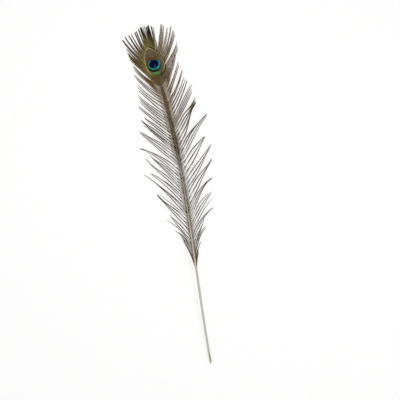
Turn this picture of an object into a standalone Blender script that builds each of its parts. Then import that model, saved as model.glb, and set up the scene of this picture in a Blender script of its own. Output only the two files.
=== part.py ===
"""One peacock train feather, lying face up on a flat surface.

Metres, +Z up. +Y runs from the quill's end to the fringe above the eye, and the origin is at the
middle of the feather's footprint, on the surface it lies on.

The shaft is a tapering stem that bows a little to one side and arches off the surface. Barbs spring
from both sides of it: long loose ones form the two vanes, and the close ones round the shaft's tip
form the eye and the fringe beyond it. Each group of barbs is one thin solid that reaches their tips.
"""

import math

import bmesh
import bpy
from mathutils import Vector

# Driving dimensions. A station is a distance along +Y from the quill's end.
SHAFT_END = 0.648  # station where the shaft runs out, inside the eye
VANE_START = 0.198  # station of the lowest barbs, where the bare quill ends
EYE_START = 0.574  # station of the lowest barbs that belong to the eye

QUILL_RADIUS = 0.0019
SHAFT_TIP_RADIUS = 0.0004
QUILL_END_RADIUS = 0.0011
QUILL_TAPER = 0.014  # length over which the quill's end narrows

BOW = 0.0148  # furthest that the shaft swings to +X
BOW_SPAN = 0.656  # station where the bow comes back to the line it started on
BOW_SKEW = 1.55  # over 1 puts the furthest point above the middle
ARCH = 0.0105  # how far the shaft's middle rises off the surface
ARCH_SPAN = 0.670

VANE_THICKNESS = 0.0014
GAP = 0.0003  # left between neighbouring solids
EYE_PARTING = 0.0016  # gap between the loose barbs and the lowest barbs of the eye
DROOP_POWER = 1.6  # over 1 lets the barbs flatten out as they reach the surface

# How the barbs leave the shaft, at rising stations:
# station, angle to the shaft at the root, the same at the tip (degrees), length of the barb.
BARBS = (
    (0.198, 10.0, 18.0, 0.034),
    (0.222, 20.0, 36.0, 0.062),
    (0.250, 29.0, 46.0, 0.082),
    (0.290, 33.0, 46.0, 0.100),
    (0.340, 37.0, 46.0, 0.116),
    (0.385, 38.0, 44.0, 0.114),
    (0.440, 41.0, 39.0, 0.104),
    (0.515, 44.0, 33.0, 0.081),
    (0.574, 41.0, 26.0, 0.081),
    (0.590, 39.0, 25.0, 0.091),
    (0.600, 38.0, 14.0, 0.100),
    (0.610, 34.0, 8.0, 0.094),
    (0.622, 26.0, 2.0, 0.082),
    (0.634, 15.0, 0.0, 0.069),
    (0.648, 2.0, 0.0, 0.056),
)

SHAFT_RINGS = 56
RING_CROWDING = 1.35  # over 1 crowds the rings towards the quill's rounded end
SHAFT_RESOLUTION = 3
BARB_STEPS = 24  # straight steps that a barb's curve is worked out in
VANE_GRID = (48, 8)  # cells up the shaft and out along the barbs
EYE_GRID = (26, 10)

KERATIN = ("shaft_keratin", (0.74, 0.66, 0.50), 0.42, 0.0)
LOOSE_BARB = ("loose_barbs", (0.10, 0.085, 0.04), 0.55, 0.15)
EYE_BARB = ("eye_barbs", (0.11, 0.13, 0.05), 0.45, 0.30)


def clear_scene():
    for thing in list(bpy.data.objects):
        bpy.data.objects.remove(thing, do_unlink=True)


def material(name, colour, roughness, metallic):
    made = bpy.data.materials.new(name)
    made.use_nodes = True
    surface = made.node_tree.nodes["Principled BSDF"]
    surface.inputs["Base Color"].default_value = (*colour, 1.0)
    surface.inputs["Roughness"].default_value = roughness
    surface.inputs["Metallic"].default_value = metallic
    return made


def blend(low, high, share):
    return low + (high - low) * share


def shaft_radius(station):
    """A narrowed end, an even bare quill, then a long taper to the tip."""
    if station < QUILL_TAPER:
        rise = math.sqrt(1.0 - (1.0 - station / QUILL_TAPER) ** 2)
        return blend(QUILL_END_RADIUS, QUILL_RADIUS, rise)
    along = max(0.0, (station - VANE_START) / (SHAFT_END - VANE_START))
    return blend(QUILL_RADIUS, SHAFT_TIP_RADIUS, along**0.85)


def shaft_centre(station):
    """The shaft's middle line: bowed to +X in plan, arched between its two ends."""
    swing = math.sin(math.pi * min(1.0, station / BOW_SPAN) ** BOW_SKEW)
    rise = math.sin(math.pi * min(1.0, station / ARCH_SPAN))
    return Vector((BOW * swing, station, shaft_radius(station) + ARCH * rise))


def shaft_heading(station):
    """Direction of the shaft in plan, in radians from +Y towards +X."""
    step = 0.002
    ahead = shaft_centre(station + step) - shaft_centre(station - step)
    return math.atan2(ahead.x, ahead.y)


def barb_habit(station):
    """Root angle, tip angle (radians) and length of the barb at a station."""
    for low, high in zip(BARBS, BARBS[1:]):
        if station <= high[0]:
            break
    share = (station - low[0]) / (high[0] - low[0])
    root, tip, length = (blend(a, b, share) for a, b in zip(low[1:], high[1:]))
    return math.radians(root), math.radians(tip), length


def barb_point(side, station, along):
    """A point on the barb at a station, from 0 at its root to 1 at its tip. side is -1 or 1."""
    root_angle, tip_angle, length = barb_habit(station)
    start = shaft_centre(station)
    heading = shaft_heading(station)
    aside = side * (shaft_radius(station) + GAP + VANE_THICKNESS / 4)
    x = start.x + aside * math.cos(heading)
    y = start.y - aside * math.sin(heading)
    step = along * length / BARB_STEPS
    for i in range(BARB_STEPS):
        share = (i + 0.5) / BARB_STEPS * along
        turn = heading + side * blend(root_angle, tip_angle, share)
        x += step * math.sin(turn)
        y += step * math.cos(turn)
    edge = VANE_THICKNESS / 2
    z = edge + (start.z - edge) * (1.0 - along) ** DROOP_POWER
    return Vector((x, y, z))


def shaft(surface, collection):
    """The bare quill and the barbed shaft above it in one tapering stem, closed at both ends."""
    curve = bpy.data.curves.new("shaft", "CURVE")
    curve.dimensions = "3D"
    curve.bevel_depth = 1.0
    curve.bevel_resolution = SHAFT_RESOLUTION
    curve.use_fill_caps = True
    spline = curve.splines.new("POLY")
    spline.points.add(SHAFT_RINGS - 1)
    for i, point in enumerate(spline.points):
        station = SHAFT_END * (i / (SHAFT_RINGS - 1)) ** RING_CROWDING
        centre = shaft_centre(station)
        point.co = (*centre, 1.0)
        point.radius = shaft_radius(station)
    curve.materials.append(surface)
    made = bpy.data.objects.new("shaft", curve)
    collection.objects.link(made)
    return made


def barb_sheet(name, side, low, high, grid, surface, collection):
    """The solid of all the barbs on one side between two stations: a grid with one direction up
    the shaft and the other out along the barbs, given an even thickness."""
    bm = bmesh.new()
    bmesh.ops.create_grid(bm, x_segments=grid[0], y_segments=grid[1], size=0.5)
    for vertex in bm.verts:
        station = blend(low, high, vertex.co.x + 0.5)
        vertex.co = barb_point(side, station, vertex.co.y + 0.5)
    if side < 0:
        bmesh.ops.reverse_faces(bm, faces=bm.faces)
    mesh = bpy.data.meshes.new(name)
    bm.to_mesh(mesh)
    bm.free()
    mesh.materials.append(surface)
    mesh.shade_smooth()
    made = bpy.data.objects.new(name, mesh)
    collection.objects.link(made)
    thicken = made.modifiers.new("thickness", "SOLIDIFY")
    thicken.thickness = VANE_THICKNESS
    thicken.offset = 0.0
    return made


def stand_on_origin(parts):
    """Puts the middle of the footprint at the origin, with the lowest point at Z = 0."""
    bpy.context.view_layer.update()
    graph = bpy.context.evaluated_depsgraph_get()
    corners = []
    for part in parts:
        mesh = bpy.data.meshes.new_from_object(part.evaluated_get(graph))
        corners += [vertex.co.copy() for vertex in mesh.vertices]
        bpy.data.meshes.remove(mesh)
    low = Vector(min(p[k] for p in corners) for k in range(3))
    high = Vector(max(p[k] for p in corners) for k in range(3))
    middle = (low + high) / 2
    feather = bpy.data.objects.new("feather_frame", None)
    bpy.context.scene.collection.objects.link(feather)
    feather.location = (-middle.x, -middle.y, -low.z)
    for part in parts:
        part.parent = feather


clear_scene()
feather_parts = bpy.data.collections.new("peacock_feather")
bpy.context.scene.collection.children.link(feather_parts)

keratin = material(*KERATIN)
loose_barb = material(*LOOSE_BARB)
eye_barb = material(*EYE_BARB)

built = [shaft(keratin, feather_parts)]
for side_name, side in (("left", -1), ("right", 1)):
    vane_end = EYE_START - EYE_PARTING
    vane = barb_sheet(
        f"{side_name}_vane", side, VANE_START, vane_end, VANE_GRID, loose_barb, feather_parts
    )
    eye_web = barb_sheet(
        f"{side_name}_eye_web", side, EYE_START, SHAFT_END, EYE_GRID, eye_barb, feather_parts
    )
    built += [vane, eye_web]
stand_on_origin(built)
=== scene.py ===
import math

import bpy
import numpy as np
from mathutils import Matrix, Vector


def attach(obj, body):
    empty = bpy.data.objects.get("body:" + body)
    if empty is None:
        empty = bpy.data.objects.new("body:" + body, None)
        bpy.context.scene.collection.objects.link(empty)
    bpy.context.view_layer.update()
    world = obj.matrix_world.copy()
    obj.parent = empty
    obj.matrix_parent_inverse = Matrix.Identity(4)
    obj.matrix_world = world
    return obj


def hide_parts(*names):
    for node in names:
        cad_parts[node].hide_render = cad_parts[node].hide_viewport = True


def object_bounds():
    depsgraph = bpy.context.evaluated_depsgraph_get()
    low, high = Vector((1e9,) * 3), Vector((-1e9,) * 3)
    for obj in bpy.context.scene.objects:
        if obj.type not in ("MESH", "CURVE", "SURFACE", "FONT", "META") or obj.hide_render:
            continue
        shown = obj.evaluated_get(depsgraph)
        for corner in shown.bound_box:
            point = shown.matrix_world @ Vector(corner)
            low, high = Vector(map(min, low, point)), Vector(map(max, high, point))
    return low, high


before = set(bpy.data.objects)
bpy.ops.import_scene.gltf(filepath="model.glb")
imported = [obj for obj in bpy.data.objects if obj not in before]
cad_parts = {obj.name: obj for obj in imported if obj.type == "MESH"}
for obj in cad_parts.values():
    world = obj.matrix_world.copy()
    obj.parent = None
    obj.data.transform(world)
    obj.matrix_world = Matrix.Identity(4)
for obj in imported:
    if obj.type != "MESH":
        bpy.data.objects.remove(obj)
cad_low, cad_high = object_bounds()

# ---- Shaft ---------------------------------------------------------------------------------------
# One growth of keratin: a round hollow quill, narrowed and open at its lower end, squares off into
# the barbed shaft, which is grooved underneath and runs out to a point inside the eye.

# A station is a distance along the feather from the quill's end. Lengths are in metres.
QUILL_RADIUS = 0.0019
QUILL_END_RADIUS = 0.0010
QUILL_TAPER = 0.014
QUILL_HOLE = ((0.0040, 0.00030), (0.0016, 0.00046), (0.0002, 0.00062))  # station, radius; inside out
SHAFT_TIP_RADIUS = 0.00025
SHAFT_TAPER_POWER = 0.85  # under 1 thins the shaft a little faster at first
BARBS_START = 0.198  # station of the lowest barbs
SHAFT_RINGS = 170
RING_CROWDING = 1.25  # over 1 crowds the rings towards the quill's end
SHAFT_SIDES = 32
SHAFT_SQUARENESS = 0.05
SQUARING = (-0.03, 0.04)  # where the round quill turns into the squared shaft, from BARBS_START
GROOVE_DEPTH = 0.34  # of the radius
GROOVE_HALF_ANGLE = math.radians(17)
LINE_DEGREE = 10  # of the smooth curves through the middle of the modelled shaft

cad_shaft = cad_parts["shaft"]
shaft_points = np.array([cad_shaft.matrix_world @ vertex.co for vertex in cad_shaft.data.vertices])
quill_end = shaft_points[:, 1].min()
shaft_length = np.ptp(shaft_points[:, 1])
shaft_stations = shaft_points[:, 1] - quill_end
sideways_bow = np.polynomial.Chebyshev.fit(shaft_stations, shaft_points[:, 0], LINE_DEGREE)
upward_arch = np.polynomial.Chebyshev.fit(shaft_stations, shaft_points[:, 2], LINE_DEGREE)


def smooth_step(value, low, high):
    share = np.clip((value - low) / (high - low), 0.0, 1.0)
    return share * share * (3.0 - 2.0 * share)


def shaft_radius(station):
    rounded_end = np.sqrt(1.0 - (1.0 - np.clip(station / QUILL_TAPER, 0.0, 1.0)) ** 2)
    quill = QUILL_END_RADIUS + (QUILL_RADIUS - QUILL_END_RADIUS) * rounded_end
    up_the_vane = np.clip((station - BARBS_START) / (shaft_length - BARBS_START), 0.0, 1.0)
    return quill + (SHAFT_TIP_RADIUS - quill) * up_the_vane**SHAFT_TAPER_POWER


def along_shaft(station):
    """The shaft's middle at a station, and the unit vectors to its right and out of its top."""
    middle = np.stack([sideways_bow(station), quill_end + station, upward_arch(station)], axis=-1)
    slopes = np.stack(
        [sideways_bow.deriv()(station), np.ones_like(station), upward_arch.deriv()(station)], axis=-1
    )
    forward = slopes / np.linalg.norm(slopes, axis=-1, keepdims=True)
    right = np.cross(forward, (0.0, 0.0, 1.0))
    right /= np.linalg.norm(right, axis=-1, keepdims=True)
    return middle, right, np.cross(right, forward)


def add_mesh(name, points, faces, uvs, attributes=None):
    """A piece made of triangles. uvs has a row for each corner of a face, and attributes have a
    value for each point."""
    mesh = bpy.data.meshes.new(name)
    mesh.vertices.add(len(points))
    mesh.vertices.foreach_set("co", np.asarray(points, dtype=np.float32).ravel())
    mesh.loops.add(faces.size)
    mesh.loops.foreach_set("vertex_index", faces.ravel().astype(np.int32))
    mesh.polygons.add(len(faces))
    mesh.polygons.foreach_set("loop_start", np.arange(0, faces.size, 3, dtype=np.int32))
    for key, values in (attributes or {}).items():
        layer = mesh.attributes.new(key, "FLOAT", "POINT")
        layer.data.foreach_set("value", np.asarray(values, dtype=np.float32))
    layer = mesh.uv_layers.new(name="OFBake")
    layer.data.foreach_set("uv", np.asarray(uvs, dtype=np.float32).ravel())
    mesh.update(calc_edges=True)
    piece = bpy.data.objects.new(name, mesh)
    bpy.context.scene.collection.objects.link(piece)
    return piece


def shaft_mesh():
    outside = shaft_length * np.linspace(0.0, 1.0, SHAFT_RINGS) ** RING_CROWDING
    stations = np.concatenate([[station for station, _ in QUILL_HOLE], outside])
    radii = np.concatenate([[radius for _, radius in QUILL_HOLE], shaft_radius(outside)])
    turns = np.linspace(0.0, 2.0 * math.pi, SHAFT_SIDES, endpoint=False)
    barbed = smooth_step(stations, BARBS_START + SQUARING[0], BARBS_START + SQUARING[1])[:, None]
    from_underside = (turns + math.pi / 2 + math.pi) % (2.0 * math.pi) - math.pi
    groove = GROOVE_DEPTH * np.exp(-((from_underside / GROOVE_HALF_ANGLE) ** 2))
    shape = 1.0 - barbed * (SHAFT_SQUARENESS * np.cos(4.0 * turns) + groove)
    middle, right, up = along_shaft(stations)
    reach = radii[:, None, None] * shape[..., None]
    rings = middle[:, None] + reach * (
        np.cos(turns)[None, :, None] * right[:, None] + np.sin(turns)[None, :, None] * up[:, None]
    )
    points = np.concatenate([rings.reshape(-1, 3), middle[:1], middle[-1:]])
    ring, side = np.meshgrid(np.arange(len(stations) - 1), np.arange(SHAFT_SIDES), indexing="ij")
    after = (side + 1) % SHAFT_SIDES
    a, b = ring * SHAFT_SIDES + side, ring * SHAFT_SIDES + after
    c, d = b + SHAFT_SIDES, a + SHAFT_SIDES
    walls = np.stack([np.stack([a, c, b], -1), np.stack([a, d, c], -1)], axis=2).reshape(-1, 3)
    start, end = len(points) - 2, len(points) - 1
    last = (len(stations) - 1) * SHAFT_SIDES
    here = np.arange(SHAFT_SIDES)
    following = (here + 1) % SHAFT_SIDES
    bottom = np.stack([np.full(SHAFT_SIDES, start), here, following], -1)
    top = np.stack([np.full(SHAFT_SIDES, end), last + following, last + here], -1)
    # The map unrolls the shaft: round the shaft is across the map, and along it is up the map.
    rows = np.linspace(0.01, 0.99, len(stations))
    across, onward = side / SHAFT_SIDES, (side + 1) / SHAFT_SIDES
    low, high = rows[ring], rows[ring + 1]
    corner = {"a": (across, low), "b": (onward, low), "c": (onward, high), "d": (across, high)}
    wall_uvs = np.stack(
        [np.stack([np.stack(corner[k], -1) for k in keys], 2) for keys in ("acb", "adc")], 2
    )
    fan = here / SHAFT_SIDES
    ends = []
    for tip, rim in ((0.0, rows[0]), (1.0, rows[-1])):
        triangle = [(fan + 0.5 / SHAFT_SIDES, tip), (fan, rim), (fan + 1.0 / SHAFT_SIDES, rim)]
        if tip:
            triangle[1], triangle[2] = triangle[2], triangle[1]
        ends.append(np.stack([np.stack(np.broadcast_arrays(u, v), -1) for u, v in triangle], 1))
    uvs = np.concatenate([wall_uvs.reshape(-1, 2), ends[0].reshape(-1, 2), ends[1].reshape(-1, 2)])
    faces = np.concatenate([walls, bottom, top])
    along = np.concatenate([np.repeat(stations, SHAFT_SIDES), stations[:1], stations[-1:]])
    piece = add_mesh("quill_and_shaft", points, faces, uvs, {"station": along})
    piece.data.shade_smooth()
    return piece


class Wire:
    """A value, colour or vector on its way through a material. Arithmetic on it adds Math nodes."""

    def __init__(self, tree, socket=None):
        self.tree = tree
        self.socket = socket

    def node(self, kind, settings, sockets, output=0):
        """Any node: its type, its settings, then the values or links of its sockets."""
        made = self.tree.nodes.new("ShaderNode" + kind)
        for name, value in settings.items():
            if name == "stops":
                ramp = made.color_ramp.elements
                for place, _ in value[2:]:
                    ramp.new(place)
                for stop, (place, colour) in zip(ramp, value):
                    stop.position = place
                    stop.color = colour
            else:
                setattr(made, name, value)
        for key, value in sockets.items():
            if isinstance(value, Wire):
                self.tree.links.new(value.socket, made.inputs[key])
            else:
                made.inputs[key].default_value = value
        return Wire(self.tree, made.outputs[output])

    def math(self, operation, *terms):
        return self.node("Math", {"operation": operation}, dict(enumerate(terms)))

    def __add__(self, other):
        return self.math("ADD", self, other)

    def __sub__(self, other):
        return self.math("SUBTRACT", self, other)

    def __mul__(self, other):
        return self.math("MULTIPLY", self, other)

    def __truediv__(self, other):
        return self.math("DIVIDE", self, other)

    def __pow__(self, other):
        return self.math("POWER", self, other)

    def __rsub__(self, other):
        return self.math("SUBTRACT", other, self)

    __radd__ = __add__
    __rmul__ = __mul__

    def beyond(self, edge, softness):
        """0 below the edge and 1 above it, with a soft step between."""
        limits = {"From Min": edge - softness, "From Max": edge + softness}
        return self.node("MapRange", {"interpolation_type": "SMOOTHSTEP"}, {"Value": self, **limits})

    def band(self, low, high, softness):
        """1 between two values and 0 outside them."""
        return self.beyond(low, softness) * (1.0 - self.beyond(high, softness))

    def ramp(self, *stops):
        return self.node("ValToRGB", {"stops": stops}, {"Fac": self})

    def over(self, below, above):
        """The colour above laid over the colour below, as far as this mask says."""
        return self.node("Mix", {"data_type": "RGBA"}, {0: self, 6: below, 7: above}, output=2)

    def tint(self, colour, shade):
        """A colour multiplied by another, as far as this mask says."""
        settings = {"data_type": "RGBA", "blend_type": "MULTIPLY"}
        return self.node("Mix", settings, {0: self, 6: colour, 7: shade}, output=2)

    def attribute(self, name):
        return self.node("Attribute", {"attribute_name": name}, {}, output="Fac")

    def place(self, axis=None):
        """Where the surface is: as a vector, or as one number with axis 0, 1 or 2."""
        vector = self.node("TexCoord", {}, {}, output="Object")
        if axis is None:
            return vector
        return self.node("SeparateXYZ", {}, {"Vector": vector}, output=axis)

    def noise(self, scales, detail=3.0):
        """Noise over the piece, with its own fineness along X, Y and Z."""
        stretched = self.node("VectorMath", {"operation": "MULTIPLY"}, {0: self.place(), 1: scales})
        return self.node("TexNoise", {}, {"Vector": stretched, "Scale": 1.0, "Detail": detail})


def pigment(code):
    """A colour from its hexadecimal code, as the shaders' linear red, green, blue and alpha."""
    parts = [int(code[i : i + 2], 16) / 255 for i in (0, 2, 4)]
    return (*[c / 12.92 if c <= 0.04045 else ((c + 0.055) / 1.055) ** 2.4 for c in parts], 1.0)


def paint(piece, name, recipe):
    """Gives a piece a material. recipe says what goes to each socket of its surface."""
    material = bpy.data.materials.new(name)
    material.use_nodes = True
    surface = material.node_tree.nodes["Principled BSDF"]
    for key, value in recipe(Wire(material.node_tree)).items():
        if isinstance(value, Wire):
            material.node_tree.links.new(value.socket, surface.inputs[key])
        else:
            surface.inputs[key].default_value = value
    piece.data.materials.append(material)


def keratin(wire):
    """Grey-white at the quill, tan where the barbs start and dark brown in the eye, with fine
    streaks and broader stains along it."""
    share = wire.attribute("station") / shaft_length
    streaks = wire.noise((3000.0, 14.0, 3000.0))
    stains = wire.noise((140.0, 26.0, 140.0))
    body = share.ramp(
        (0.0, pigment("8f9068")),
        (0.022, pigment("a9ab82")),
        (0.040, pigment("bbbbb5")),
        (0.25, pigment("c0bfba")),
        (0.31, pigment("ccc4ae")),
        (0.43, pigment("bcb090")),
        (0.55, pigment("a08d68")),
        (0.68, pigment("7a6342")),
        (0.84, pigment("4c3620")),
        (1.0, pigment("3a2a18")),
    )
    streaked = streaks.beyond(0.55, 0.20).tint(body, pigment("e3ddd0"))
    stained = stains.beyond(0.56, 0.16).tint(streaked, pigment("efe4cd"))
    ridges = wire.node("Bump", {}, {"Strength": 0.15, "Distance": 0.0002, "Height": streaks})
    return {
        "Base Color": stained,
        "Roughness": 0.36 + 0.18 * streaks,
        "Normal": ridges,
        "Specular IOR Level": 0.4,
    }


shaft = shaft_mesh()
paint(shaft, "keratin", keratin)
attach(shaft, "root")
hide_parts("shaft")

# ---- Loose barbs ---------------------------------------------------------------------------------
# Some hundreds of soft barbs that spring from both sides of the shaft. Each is a thin rib fringed
# with hooks too loose to hold its neighbours, so the barbs part and gather into tapering strands.

# How barbs leave the shaft, at rising stations:
# station, angle to the shaft at the root, the same at the tip (degrees), length.
BARB_HABIT = np.array(
    (
        (0.198, 10.0, 18.0, 0.034),
        (0.222, 20.0, 36.0, 0.062),
        (0.250, 29.0, 46.0, 0.082),
        (0.290, 33.0, 46.0, 0.100),
        (0.340, 37.0, 46.0, 0.116),
        (0.385, 38.0, 44.0, 0.114),
        (0.440, 41.0, 39.0, 0.104),
        (0.515, 44.0, 33.0, 0.081),
        (0.574, 41.0, 26.0, 0.081),
        (0.590, 39.0, 25.0, 0.091),
        (0.600, 38.0, 14.0, 0.100),
        (0.610, 34.0, 8.0, 0.094),
        (0.622, 26.0, 2.0, 0.082),
        (0.634, 15.0, 0.0, 0.069),
        (0.648, 2.0, 0.0, 0.056),
    )
)

# How far apart barbs spring from the shaft, at rising stations.
BARB_SPACING = np.array(
    (
        (0.198, 0.0024),
        (0.400, 0.0022),
        (0.450, 0.0018),
        (0.520, 0.0017),
        (0.545, 0.0015),
        (0.574, 0.0013),
        (0.590, 0.00105),
        (0.606, 0.00092),
        (0.632, 0.00056),
        (0.648, 0.0005),
    )
)
SPACING_SPREAD = (0.7, 1.3)  # least and most, in times the usual spacing

# How neighbouring barbs gather into strands, and strands into locks, at rising stations:
# station, how many gather, chance that one keeps to itself, pull towards the middle one, the shares
# of a barb's length where the pull starts and where it is full, and their sway (degrees).
STRANDS = np.array(
    (
        (0.198, 3.0, 0.10, 0.60, 0.10, 0.60, 5.0),
        (0.240, 3.0, 0.10, 0.90, 0.04, 0.26, 4.0),
        (0.300, 3.5, 0.08, 0.90, 0.05, 0.22, 3.0),
        (0.400, 4.0, 0.06, 0.90, 0.05, 0.22, 2.5),
        (0.440, 4.0, 0.05, 0.90, 0.06, 0.24, 1.5),
        (0.520, 4.0, 0.0, 0.88, 0.08, 0.32, 1.2),
        (0.560, 4.0, 0.0, 0.82, 0.15, 0.50, 1.0),
        (0.590, 4.0, 0.0, 0.40, 0.42, 0.80, 0.8),
        (0.610, 5.0, 0.0, 0.68, 0.45, 0.80, 1.5),
        (0.622, 8.0, 0.0, 0.70, 0.52, 0.85, 1.8),
        (0.648, 11.0, 0.0, 0.70, 0.52, 0.85, 1.8),
    )
)
LOCKS = np.array(
    (
        (0.198, 2.0, 0.30, 0.50, 0.30, 0.90, 5.0),
        (0.240, 2.0, 0.30, 0.90, 0.25, 0.90, 8.0),
        (0.300, 2.5, 0.25, 0.94, 0.30, 0.95, 10.0),
        (0.400, 3.0, 0.20, 0.94, 0.35, 1.0, 8.0),
        (0.450, 3.5, 0.15, 0.92, 0.40, 1.0, 4.5),
        (0.475, 3.0, 0.20, 0.80, 0.45, 1.0, 3.0),
        (0.492, 2.0, 0.30, 0.30, 0.30, 0.95, 1.5),
        (0.530, 2.5, 0.1, 0.40, 0.20, 0.80, 1.2),
        (0.560, 3.5, 0.0, 0.45, 0.10, 0.60, 1.6),
        (0.590, 3.5, 0.0, 0.40, 0.20, 0.80, 1.4),
        (0.610, 1.0, 1.0, 0.0, 0.30, 0.80, 1.0),
        (0.648, 1.0, 1.0, 0.0, 0.30, 0.80, 0.0),
    )
)
GROUP_SIZES = (0.6, 1.45)  # least and most that gather, in times the usual number
PULL_DELAYS = (0.8, 1.3)  # earliest and latest that a group is drawn together, in times the usual
TIP_LOOSENING = 0.12  # the most that a barb's tip escapes the pull
LOOSENING_START = 0.7  # share of a barb's length

# Sway: a steady lean, and a wave along the barb.
BARB_SWAY = 1.2  # of a barb by itself, in degrees
SWAY_LIMIT = 1.4  # the most of either, in times the usual sway
LEANING = 0.45
WAVING = 0.6
WAVES = (0.4, 1.1)  # fewest and most along a barb
SWAY_POWER = 0.6  # over 0 keeps the roots in line
TIP_CURL = 1.6  # how far a lock's tip curls, in degrees for each degree of its sway
CURL_LIMIT = 1.5
CURL_POWER = 6  # over 1 keeps the curl to the tip
PARTING_EDGE = 0.0005  # how sharply the barbs on both sides of a parting differ, in stations
PARTING_BEND = (0.10, 0.50)  # shares of a barb's length between which it leans away

# Lengths, as shares of the usual one.
RAGGED = 0.30  # how much shorter than its lock a barb may be
RAGGED_ABOVE = 0.08  # the same for the barbs nearer the eye and in it
RAGGED_CHANGE = (0.42, 0.52)  # stations between which the one turns into the other
LOCK_LENGTHS = 0.010  # spread of the locks' lengths, for each degree of their sway
LOCK_LENGTH_LIMITS = (-0.25, 0.12)
BARB_LENGTHS = 0.03  # spread of single barbs' lengths

EYE_START = 0.574  # station of the lowest barbs that belong to the eye
LOOSE_GAP = 0.001  # between the last loose barb and the lowest of the eye, in stations
LOOSE_SPLIT = 0.395  # station where each side's loose barbs are shared between two meshes
BARB_STEPS = 30
BARB_LIFT = 0.0004  # height of a barb's middle line where it lies on the surface
BARB_JUMBLE = 0.0006  # how much higher some barbs lie than others
JUMBLE_POWER = 4  # over 1 keeps them apart until near their tips
DROOP_POWER = 1.6  # over 1 lets the barbs flatten out as they reach the surface
SURFACE_GAP = 0.00005

# Where barbs spring from the shaft, in shaft radii.
ROOT_ASIDE = 0.8  # from its middle, for the loose ones
EYE_ROOT_SHIFT = 0.5  # how much nearer to its middle those of the eye do
EYE_ROOT_RISE = 0.9  # and how much higher
EYE_ROOT_CHANGE = (-0.015, 0.025)  # where the one turns into the other, from EYE_START

LOOSE_RIB = {"half_width": 0.00028, "half_height": 0.00015}
RIB_TIP = 0.30  # a rib's width at its tip, in times that at its root
RIB_TAPER_POWER = 0.7
LOOSE_HOOKS = {
    "spacing": 0.00050,
    "crowding": 1.15,  # over 1 sets them closer near the shaft
    "length": 0.00115,
    "half_width": 0.00015,
    "slant": 42.0,  # from the rib, in degrees
    # Share of a barb's length, and of the hooks' full length and width there.
    "lengths": (
        (0.0, 0.8),
        (0.03, 0.8),
        (0.08, 0.30),
        (0.20, 0.36),
        (0.36, 0.95),
        (0.75, 0.78),
        (1.0, 0.4),
    ),
    "widths": ((0.0, 1.6), (0.08, 1.0), (0.20, 1.1), (0.36, 2.7), (0.80, 2.3), (1.0, 1.0)),
}
HOOK_PLACES = (0.1, 0.9)  # where a hook may spring, in the room that it has along its rib
HOOK_SEAT = 0.6  # how far out on its rib a hook is rooted, in rib half widths
HOOK_SIZES = (0.75, 1.15)  # smallest and largest, in times the usual length
SLANT_SPREAD = 8.0  # degrees
HOOK_TILTS = (-0.10, 0.35)  # how far hooks point down or up
HOOK_WAIST = 0.35  # where along it a hook is widest
HOOK_RIDGE = 0.35  # how far its edges lie below its ridge, in hook half widths

# How much finer the lowest and the highest loose barbs are, and the stations between which that
# changes.
LOWER_FINENESS, LOWER_CHANGE = 0.32, (0.40, 0.46)
UPPER_FINENESS, UPPER_CHANGE = 0.22, (0.525, 0.560)

# Each barb has two strips of the map: one for its top, and one for its underside half a map on.
STRIP_START = 0.02
STRIP_LENGTH = 0.46
STRIP_HALF_WIDTH = 0.46  # in times the room between two strips
STRIP_OVERRUN = 0.04  # how far hooks may go past a barb's ends, as a share of its length
CAP_INSET = 0.003  # how far in from a barb's ends the faces that close its rib reach, likewise

LOOSE_SEEDS = {-1: 307, 1: 23}


def barb_stations(first, last, rng):
    stations = [first]
    while stations[-1] < last:
        gap = np.interp(stations[-1], *BARB_SPACING.T)
        stations.append(stations[-1] + gap * rng.uniform(*SPACING_SPREAD))
    return np.array(stations[:-1])


def in_groups(sizes, loners, rng):
    """Splits a row of neighbours into groups. Returns each one's group, and each group's middle."""
    group, middles = np.zeros(len(sizes), int), []
    first = 0
    while first < len(sizes):
        alone = rng.random() < loners[first]
        size = 1 if alone else max(1, round(sizes[first] * rng.uniform(*GROUP_SIZES)))
        last = min(first + size, len(sizes))
        group[first:last] = len(middles)
        middles.append((first + last - 1) // 2)
        first = last
    return group, np.array(middles)


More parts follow.
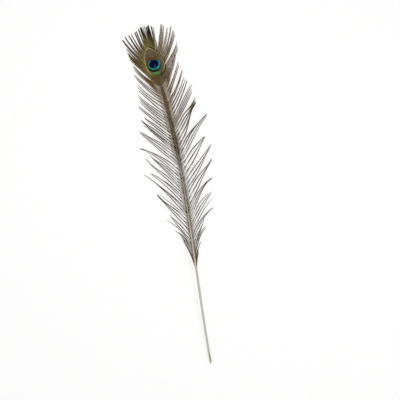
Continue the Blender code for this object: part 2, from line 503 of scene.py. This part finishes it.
def grow_barbs(side, stations, rng, parting=(0.0, 0.0)):
    """Middle lines of the barbs on one side, as barbs x points x 3. parting is a station, and how
    many degrees further out the barbs below it lean."""
    barbs = len(stations)
    root, tip, length = (np.interp(stations, BARB_HABIT[:, 0], column) for column in BARB_HABIT.T[1:])
    strand_habit, lock_habit = (
        [np.interp(stations, table[:, 0], column) for column in table.T[1:]]
        for table in (STRANDS, LOCKS)
    )
    strand, leaders = in_groups(strand_habit[0], strand_habit[1], rng)
    lock, heads = in_groups(lock_habit[0][leaders], lock_habit[1][leaders], rng)
    lock, head = lock[strand], leaders[heads][lock[strand]]

    # Which way each step of a barb heads: the habit of barbs there, then the sway of its lock, of
    # its strand and of its own.
    share = (np.arange(BARB_STEPS) + 0.5) / BARB_STEPS
    lean = root[:, None] + (tip - root)[:, None] * share
    parted = smooth_step(parting[0] - stations, -PARTING_EDGE, PARTING_EDGE)[:, None]
    lean = lean + parting[1] * parted * smooth_step(share, *PARTING_BEND)
    own, own_sway = np.arange(barbs), np.full(barbs, BARB_SWAY)
    for group, sway in ((lock, lock_habit[5]), (strand, strand_habit[5]), (own, own_sway)):
        chance = np.clip(rng.standard_normal((2, barbs)), -SWAY_LIMIT, SWAY_LIMIT)
        offset, bend = chance[:, group, None]
        cycles = rng.uniform(*WAVES, barbs)[group, None]
        phase = rng.uniform(0.0, 1.0, barbs)[group, None]
        wave = np.sin(2.0 * math.pi * (cycles * share + phase))
        lean = lean + sway[:, None] * (LEANING * offset + WAVING * bend * wave) * share**SWAY_POWER
    curl = np.clip(rng.standard_normal(barbs), -CURL_LIMIT, CURL_LIMIT)[lock, None]
    lean = lean + TIP_CURL * lock_habit[5][:, None] * curl * share**CURL_POWER
    middle, right, up = along_shaft(stations)
    bearing = np.arctan2(-right[:, 1], right[:, 0])[:, None] + side * np.radians(lean)

    # The loose barbs leave the shaft's sides. Those of the eye leave its top, and so cover it.
    roofed = smooth_step(stations, EYE_START + EYE_ROOT_CHANGE[0], EYE_START + EYE_ROOT_CHANGE[1])
    roofed, radius = roofed[:, None], shaft_radius(stations)[:, None]
    aside = side * (ROOT_ASIDE - EYE_ROOT_SHIFT * roofed)
    start = middle + radius * (aside * right + EYE_ROOT_RISE * roofed * up)

    # How long each barb is, and how it comes down to the surface.
    lock_stretch = LOCK_LENGTHS * lock_habit[5] * rng.standard_normal(barbs)[lock]
    own_stretch = BARB_LENGTHS * rng.standard_normal(barbs)
    ragged = RAGGED + (RAGGED_ABOVE - RAGGED) * smooth_step(stations, *RAGGED_CHANGE)
    shortfall = ragged * rng.random(barbs) ** 2
    stretch = np.clip(lock_stretch, *LOCK_LENGTH_LIMITS) + own_stretch - shortfall
    step = (length * (1.0 + stretch) / BARB_STEPS)[:, None]
    whole = np.linspace(0.0, 1.0, BARB_STEPS + 1)
    lie = BARB_LIFT + BARB_JUMBLE * rng.random((barbs, 1)) * (1.0 - whole**JUMBLE_POWER)
    paths = np.repeat(start[:, None], BARB_STEPS + 1, axis=1)
    paths[:, 1:, 0] += np.cumsum(step * np.sin(bearing), axis=1)
    paths[:, 1:, 1] += np.cumsum(step * np.cos(bearing), axis=1)
    paths[:, :, 2] = lie + (start[:, 2:] - BARB_LIFT) * (1.0 - whole) ** DROOP_POWER

    # Each barb is drawn to the middle one of its strand, and then to the middle one of its lock.
    escape = rng.uniform(0.0, TIP_LOOSENING, (barbs, 1))
    loosening = escape * smooth_step(whole, LOOSENING_START, 1.0)
    for group, towards, habit in ((strand, leaders[strand], strand_habit), (lock, head, lock_habit)):
        pull, pull_from, pull_to = (column[:, None] for column in habit[2:5])
        late = rng.uniform(*PULL_DELAYS, barbs)[group, None]
        drawn = pull * smooth_step(whole, pull_from * late, pull_to * late) * (1.0 - loosening)
        paths[..., :2] += drawn[..., None] * (paths[towards][..., :2] - paths[..., :2])
    return paths


def unit(vectors):
    return vectors / np.linalg.norm(vectors, axis=-1, keepdims=True)


def barb_mesh(name, stations, paths, rib, hooks, rng, fineness):
    """A piece made of barbs along the given paths, each a rib with hooks down both edges. fineness
    is how much thinner each barb's rib is, and how much shorter its hooks are."""
    barbs, steps = paths.shape[:2]
    whole = np.linspace(0.0, 1.0, steps)
    forward = unit(np.gradient(paths, axis=1))
    right = unit(np.cross(forward, (0.0, 0.0, 1.0)))
    up = np.cross(right, forward)
    length = np.linalg.norm(np.diff(paths, axis=1), axis=2).sum(axis=1)
    tone = rng.random(barbs)
    taper = RIB_TIP + (1.0 - RIB_TIP) * (1.0 - whole) ** RIB_TAPER_POWER
    stoutness = 1.0 - fineness
    strip_reach = HOOK_SIZES[1] * hooks["length"]

    def on_map(barb, share, aside, below):
        """Where a point of a barb is on its strips of the map. below is 1 on the underside."""
        u = STRIP_START + STRIP_LENGTH * np.clip(share, -STRIP_OVERRUN, 1.0 + STRIP_OVERRUN)
        v = (barb + 0.5 + STRIP_HALF_WIDTH * np.clip(aside / strip_reach, -1.0, 1.0)) / barbs
        return np.stack(np.broadcast_arrays(u + 0.5 * below, v), axis=-1)

    # The rib is a flattened diamond with corners to the right, on top, to the left and below.
    aside = rib["half_width"] * np.array((1.0, 0.0, -1.0, 0.0))
    lift = rib["half_height"] * np.array((0.0, 1.0, 0.0, -1.0))
    spread = aside[:, None] * right[:, :, None] + lift[:, None] * up[:, :, None]
    ribs = paths[:, :, None] + stoutness[:, None, None, None] * taper[:, None, None] * spread
    barb = np.arange(barbs)[:, None, None]
    corner = np.arange(4)
    following = (corner + 1) % 4
    ring = 4 * (barb * steps + np.arange(steps - 1)[:, None])
    a, b = ring + corner, ring + following
    c, d = b + 4, a + 4
    low, high = whole[:-1, None], whole[1:, None]
    further = aside[following]
    spot = {"a": (low, aside), "b": (low, further), "c": (high, further), "d": (high, aside)}
    below = np.array((0.0, 0.0, 1.0, 1.0))
    walls = [np.stack((a, c, b), -1), np.stack((a, d, c), -1)]
    wall_maps = [
        np.stack([on_map(barb, *spot[k], below) for k in keys], -2) for keys in ("acb", "adc")
    ]
    first_ring = 4 * steps * np.arange(barbs)[:, None]
    last_ring = first_ring + 4 * (steps - 1)
    cap_faces, cap_maps = [], []
    for ring, share, inward, corners in (
        (first_ring, 0.0, CAP_INSET, ((0, 1, 2), (0, 2, 3))),
        (last_ring, 1.0, -CAP_INSET, ((0, 2, 1), (0, 3, 2))),
    ):
        for under, three in enumerate(corners):
            three = np.array(three)
            nudge = np.where(three % 2 == 1, inward, 0.0)
            cap_faces.append(ring + three)
            cap_maps.append(on_map(np.arange(barbs)[:, None], share + nudge, aside[three], under))
    points = [ribs.reshape(-1, 3)]
    faces = [face.reshape(-1, 3) for face in walls + cap_faces]
    uvs = [face.reshape(-1, 2) for face in wall_maps + cap_maps]
    along = [np.broadcast_to(whole[:, None], (barbs, steps, 4)).ravel()]
    tones = [np.repeat(tone, 4 * steps)]
    origins = [np.repeat(stations, 4 * steps)]

    # The hooks are closed slips, each a flat kite with a ridge, that leave both edges at a slant.
    number = np.maximum(2, (length / hooks["spacing"]).astype(int))
    barb = np.repeat(np.arange(barbs), number)
    place = np.arange(len(barb)) - np.repeat(np.cumsum(number) - number, number)
    kite = np.array(((0, 1, 3), (0, 3, 2), (0, 2, 1), (3, 1, 2)))  # root, right, left, end
    for side in (-1.0, 1.0):
        place_share = (place + rng.uniform(*HOOK_PLACES, len(barb))) / number[barb]
        share = place_share ** hooks["crowding"]
        before = np.minimum((share * (steps - 1)).astype(int), steps - 2)
        part = (share * (steps - 1) - before)[:, None]
        at, f, r, u = (
            line[barb, before] * (1.0 - part) + line[barb, before + 1] * part
            for line in (paths, forward, right, up)
        )
        grown, broad = (np.interp(share, *np.transpose(hooks[key])) for key in ("lengths", "widths"))
        grown = grown * stoutness[barb]
        size = (hooks["length"] * grown * rng.uniform(*HOOK_SIZES, len(barb)))[:, None]
        slant = np.radians(hooks["slant"] + SLANT_SPREAD * rng.standard_normal(len(barb)))[:, None]
        tilt = rng.uniform(*HOOK_TILTS, len(barb))[:, None]
        out = unit(np.cos(slant) * f + side * np.sin(slant) * r + tilt * u)
        across = hooks["half_width"] * broad[:, None] * unit(np.cross(out, u))
        edge = (HOOK_SEAT * rib["half_width"] * np.interp(share, whole, taper))[:, None]
        root = at + side * edge * r
        waist = root + HOOK_WAIST * size * out - HOOK_RIDGE * hooks["half_width"] * u
        kites = np.stack((root, waist + across, waist - across, root + size * out), axis=1)
        rest = kites - at[:, None]
        kite_share = share[:, None] + np.einsum("hkx,hx->hk", rest, f) / length[barb, None]
        kite_aside = np.einsum("hkx,hx->hk", rest, r)
        start = sum(len(some) for some in points)
        points.append(kites.reshape(-1, 3))
        faces.append((start + 4 * np.arange(len(barb))[:, None, None] + kite).reshape(-1, 3))
        mapped = on_map(barb[:, None, None], kite_share[:, kite], kite_aside[:, kite], below[:, None])
        uvs.append(mapped.reshape(-1, 2))
        along.append(np.clip(kite_share, 0.0, 1.0).ravel())
        tones.append(np.repeat(tone[barb], 4))
        origins.append(np.repeat(stations[barb], 4))
    points = np.concatenate(points)
    points[:, 2] = np.maximum(points[:, 2], cad_low[2] + SURFACE_GAP)
    layers = {
        "along": np.concatenate(along),
        "tone": np.concatenate(tones),
        "station": np.concatenate(origins),
    }
    return add_mesh(name, points, np.concatenate(faces), np.concatenate(uvs), layers)


def dull_below(wire, face, back):
    """The face's colour, with the back's colour on the underside: the right half of the map."""
    spot = wire.node("UVMap", {"uv_map": "OFBake"}, {})
    underside = wire.node("SeparateXYZ", {}, {"Vector": spot}, output=0).beyond(0.5, 0.002)
    return underside.over(face, back)


def loose_barb(wire):
    """Brown, and golden along a barb's middle, with painted shade that darkens each barb towards its
    root at the shaft. It is deeper low on the shaft and paler near the eye, with greenish patches,
    and some barbs are bronze."""
    along, tone = wire.attribute("along"), wire.attribute("tone")
    station = wire.attribute("station")
    patches = wire.noise((60.0, 60.0, 20.0), detail=2.0)
    # The darker first stops are painted shade: barbs darken towards their roots, where they crowd
    # beside the shaft and shade one another.
    body = along.ramp(
        (0.0, pigment("5c4c2c")),
        (0.10, pigment("7a6438")),
        (0.28, pigment("8e6a34")),
        (0.70, pigment("865f26")),
        (1.0, pigment("5c441a")),
    )
    deep = ((1.0 - station.beyond(0.46, 0.04)) * 0.8).tint(body, pigment("a49448"))
    pale = (station.beyond(0.515, 0.04) * 0.3).over(deep, pigment("b0845c"))
    greened = (patches.beyond(0.54, 0.10) * 0.35).over(pale, pigment("6f7328"))
    bronzed = (tone.beyond(0.70, 0.20) * 0.25).over(greened, pigment("94704a"))
    return {
        "Base Color": dull_below(wire, bronzed, pigment("5d5140")),
        "Roughness": 0.44 + 0.16 * patches,
        "Metallic": 0.25,
        "Specular IOR Level": 0.05,
    }


for side_name, side in (("left", -1), ("right", 1)):
    rng = np.random.default_rng(LOOSE_SEEDS[side])
    stations = barb_stations(BARBS_START, EYE_START - LOOSE_GAP, rng)
    paths = grow_barbs(side, stations, rng)
    fineness = UPPER_FINENESS * smooth_step(stations, *UPPER_CHANGE)
    fineness = fineness + LOWER_FINENESS * (1.0 - smooth_step(stations, *LOWER_CHANGE))
    lower = stations < LOOSE_SPLIT
    for part, chosen in (("lower", lower), ("upper", ~lower)):
        name = f"{side_name}_{part}_barbs"
        grown = (stations[chosen], paths[chosen])
        barbs = barb_mesh(name, *grown, LOOSE_RIB, LOOSE_HOOKS, rng, fineness[chosen])
        paint(barbs, name, loose_barb)
        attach(barbs, "root")
        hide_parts(f"{side_name}_vane")

# ---- Eye and fringe ------------------------------------------------------------------------------
# The barbs round the shaft's tip grow close and flat, and their broad hooks overlap into one web.
# Each barb is banded with colour, and the bands line up into the eye. Past it the ends part again.

EYE_CENTRE = 0.6294  # station
EYE_ASIDE = -0.0018  # from the shaft's middle
EYE_TILT = math.radians(10.7)  # to the left
EYE_RIB = {"half_width": 0.00020, "half_height": 0.00012}
EYE_HOOKS = {
    "spacing": 0.00052,
    "crowding": 1.0,
    "length": 0.00125,
    "half_width": 0.00024,
    "slant": 38.0,
    "lengths": ((0.0, 0.8), (0.10, 1.0), (0.50, 1.0), (0.80, 0.92), (1.0, 0.60)),
    "widths": ((0.0, 1.0), (0.50, 1.0), (0.80, 0.9), (1.0, 0.7)),
}

# Where the fringe parts on each side: the station, and how far its lower barbs lean out (degrees).
# Those lower barbs make a looser fan, whose barbs are finer on the right.
PARTINGS = {-1: (0.6185, 4.0), 1: (0.6230, 11.0)}
FAN_FINENESS = {-1: 0.0, 1: 0.32}
FAN_CHANGE = (0.0, 0.002)  # how far below the parting they start to be finer, and fully are
FAN_EDGE = 0.026  # how far to the side of the eye's middle the fringe turns paler
LAST_BARB_GAP = 0.0003  # between the last barb and the shaft's tip, in stations

BAND_SHIFT = 0.8  # how much higher the bands sit on some barbs than on others, in millimetres
STREAK_FREQUENCY = 420.0  # of the darker barbs, in each metre of stations
STREAK_OFFSET = 40.0  # sets the streaks of the two sides apart

EYE_SEEDS = {-1: 302, 1: 402}

eye_middle = along_shaft(np.array([EYE_CENTRE]))[0][0] + (EYE_ASIDE, 0.0, 0.0)


def oval(across, up, half_width, half_height):
    """0 at the middle of an oval and 1 on its edge."""
    x, y = across / half_width, up / half_height
    return (x * x + y * y) ** 0.5


def eye_barb(wire):
    """An olive web with the eye's bands on it, from the outside in: a pale ring, copper, an emerald
    crescent, a dark rim, a blue-green disc, and a violet heart that a blue stem cuts into."""
    tone, along = wire.attribute("tone"), wire.attribute("along")
    grain = wire.noise((500.0, 140.0, 100.0))
    east, north = wire.place(0) - eye_middle[0], wire.place(1) - eye_middle[1]
    # Millimetres across the eye and up it. The bands sit a little higher or lower on each barb.
    cos, sin = 1000.0 * math.cos(EYE_TILT), 1000.0 * math.sin(EYE_TILT)
    across = east * cos + north * sin
    up = north * cos - east * sin + (tone - 0.5) * BAND_SHIFT
    egg = oval(across + up * 0.04 - 0.9, up, 17.9 - 0.18 * up, 29.0)
    disc = oval(across + 0.2, up + 6.5, 13.0, 11.8)
    heart = oval(across + 0.7, up + 5.9, 10.1, 8.9)
    notch = oval(across - 0.32 * up - 2.8, up + 15.5, 2.2, 9.5)
    rim = oval(across + 0.8, up + 8.5, 14.1, 14.3)
    smile = oval(across * 0.93 - up * 0.37 - 6.5, across * 0.37 + up * 0.93 + 23.0, 8.6, 3.9)

    # The web: olive round the eye, dark at the fringe's tips, paler in the fans and streaked.
    web = (egg * 0.4).ramp(
        (0.0, pigment("d4c670")),
        (0.42, pigment("d4c670")),
        (0.50, pigment("c0b062")),
        (0.62, pigment("b09a62")),
        (0.85, pigment("a08658")),
    )
    aside = (east * east).beyond(FAN_EDGE**2, 0.5 * FAN_EDGE**2)
    ends = aside.over(pigment("4a401e"), pigment("9a7a40"))
    tips = along.beyond(0.70, 0.20).over(web, ends)
    fanned = east.beyond(FAN_EDGE * 0.5, FAN_EDGE * 0.15) * along.beyond(0.35, 0.15)
    right_fan = (fanned * 0.85).over(tips, pigment("e0c4a0"))
    stem_side = (up + grain * 6.0).beyond(-24.0, 8.0)
    below_eye = stem_side.over(pigment("9a8050"), right_fan)
    right_half = east.beyond(0.0, 0.0002)
    strands = wire.attribute("station") * STREAK_FREQUENCY + right_half * STREAK_OFFSET
    one_way = {"noise_dimensions": "1D"}
    streaks = wire.node("TexNoise", one_way, {"W": strands, "Scale": 1.0, "Detail": 3.0})
    streaked = (streaks.beyond(0.52, 0.14) * 0.85).tint(below_eye, pigment("6c5c38"))

    # The pale ring, with a dark line outside it on the right, and copper inside it.
    outline = egg.band(1.02, 1.14, 0.03) * across.beyond(3.0, 4.0)
    outlined = outline.over(streaked, pigment("30240a"))
    pale = (across * 0.04 + 0.5).ramp((0.0, pigment("ffe8b8")), (1.0, pigment("e0cc98")))
    fading = up.beyond(-20.0, 5.0)
    ringed = (egg.band(0.94, 1.02, 0.016) * fading).over(outlined, pale)
    copper = (up * 0.030 + grain * 0.3).ramp(
        (0.0, pigment("857440")),
        (0.26, pigment("8c683a")),
        (0.38, pigment("94603e")),
        (0.50, pigment("967c60")),
        (0.65, pigment("8f7f68")),
        (1.0, pigment("a0945e")),
    )
    mossy = ((across - up * 0.25).beyond(4.0, 4.0) * 0.8).over(copper, pigment("8a8048"))
    inside = (1.0 - egg.beyond(0.955, 0.018)).over(ringed, mossy)

    # The bands below and round the disc, the disc, and its heart and stem.
    emerald = (1.0 - smile.beyond(0.92, 0.10)).over(inside, pigment("74b86e"))
    shaded = (1.0 - rim.beyond(0.99, 0.03)).over(emerald, pigment("2a3010"))
    teal = (across * 0.035 + up * 0.01 + 0.5).ramp(
        (0.0, pigment("4accae")),
        (0.5, pigment("3cd4cc")),
        (1.0, pigment("50a8dc")),
    )
    dimmed = (up * 0.93 + across * 0.20).beyond(1.5, 2.5).over(teal, pigment("48703a"))
    ring = (1.0 - disc.beyond(0.99, 0.03)).over(shaded, dimmed)
    stem = (up * -0.08 - 0.55).ramp((0.0, pigment("4a68b0")), (1.0, pigment("0a7a70")))
    pupil = (1.0 - heart.beyond(0.98, 0.05)).over(ring, pigment("15104e"))
    eye = ((1.0 - notch.beyond(0.95, 0.12)) * (1.0 - disc.beyond(0.92, 0.04))).over(pupil, stem)
    glossy = 1.0 - disc.beyond(1.05, 0.05)
    return {
        "Base Color": dull_below(wire, eye, pigment("5b4d38")),
        "Roughness": 0.44 - 0.10 * glossy + 0.12 * grain,
        "Metallic": 0.2 + 0.3 * glossy,
        "Specular IOR Level": 0.2,
    }


for side_name, side in (("left", -1), ("right", 1)):
    rng = np.random.default_rng(EYE_SEEDS[side])
    stations = barb_stations(EYE_START, shaft_length - LAST_BARB_GAP, rng)
    paths = grow_barbs(side, stations, rng, PARTINGS[side])
    fineness = FAN_FINENESS[side] * smooth_step(PARTINGS[side][0] - stations, *FAN_CHANGE)
    name = f"{side_name}_eye_barbs"
    barbs = barb_mesh(name, stations, paths, EYE_RIB, EYE_HOOKS, rng, fineness)
    paint(barbs, name, eye_barb)
    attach(barbs, "root")
    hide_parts(f"{side_name}_eye_web")

# ---- Stage ---------------------------------------------------------------------------------------
# A pale floor under the feather, soft light from all round and above, and a camera that looks
# straight down, turned so that the feather leans to the left.

FLOOR_HALF = 4.0
FLOOR_GAP = 0.00005  # between the floor and the feather's lowest point

floor_mesh = bpy.data.meshes.new("floor")
floor_height = cad_low[2] - FLOOR_GAP
floor_corners = [(x * FLOOR_HALF, y * FLOOR_HALF) for x, y in ((-1, -1), (1, -1), (1, 1), (-1, 1))]
floor_mesh.from_pydata([(x, y, floor_height) for x, y in floor_corners], [], [(0, 1, 2, 3)])
floor = bpy.data.objects.new("floor", floor_mesh)
bpy.context.scene.collection.objects.link(floor)


def pale_paper(wire):
    fibres = wire.noise((90.0, 90.0, 90.0))
    return {
        "Base Color": fibres.over(pigment("f8f8f8"), pigment("fcfcfb")),
        "Roughness": 0.9,
        "Specular IOR Level": 0.1,
    }


paint(floor, "pale_paper", pale_paper)

ROOM_BRIGHTNESS = 0.44

studio = bpy.data.worlds.new("studio")
bpy.context.scene.world = studio
studio.use_nodes = True
room = studio.node_tree.nodes["Background"].inputs
room["Color"].default_value = (1.0, 1.0, 1.0, 1.0)
room["Strength"].default_value = ROOM_BRIGHTNESS

# Name, place, width and power of each soft lamp.
LAMPS = (("overhead", (-0.25, 0.30, 3.4), 1.0, 65.0), ("side", (1.6, -0.8, 1.6), 1.0, 6.5))

for name, place, width, power in LAMPS:
    lamp = bpy.data.lights.new(name, "AREA")
    lamp.size = width
    lamp.energy = power
    light = bpy.data.objects.new(name, lamp)
    light.location = place
    light.rotation_euler = (-light.location).to_track_quat("-Z", "Y").to_euler()
    bpy.context.scene.collection.objects.link(light)

VIEW_WIDTH = 0.820  # of floor that the camera takes in
VIEW_MIDDLE = (0.0252, -0.0197)  # the point of the floor under the camera
CAMERA_HEIGHT = 2.9
CAMERA_TURN = math.radians(-10.95)

lens = bpy.data.cameras.new("camera")
lens.sensor_width = 36.0
lens.lens = lens.sensor_width * CAMERA_HEIGHT / VIEW_WIDTH
camera = bpy.data.objects.new("camera", lens)
camera.location = (*VIEW_MIDDLE, CAMERA_HEIGHT)
camera.rotation_euler = (0.0, 0.0, CAMERA_TURN)
bpy.context.scene.collection.objects.link(camera)
bpy.context.scene.camera = camera
bpy.context.scene.view_settings.view_transform = "Standard"
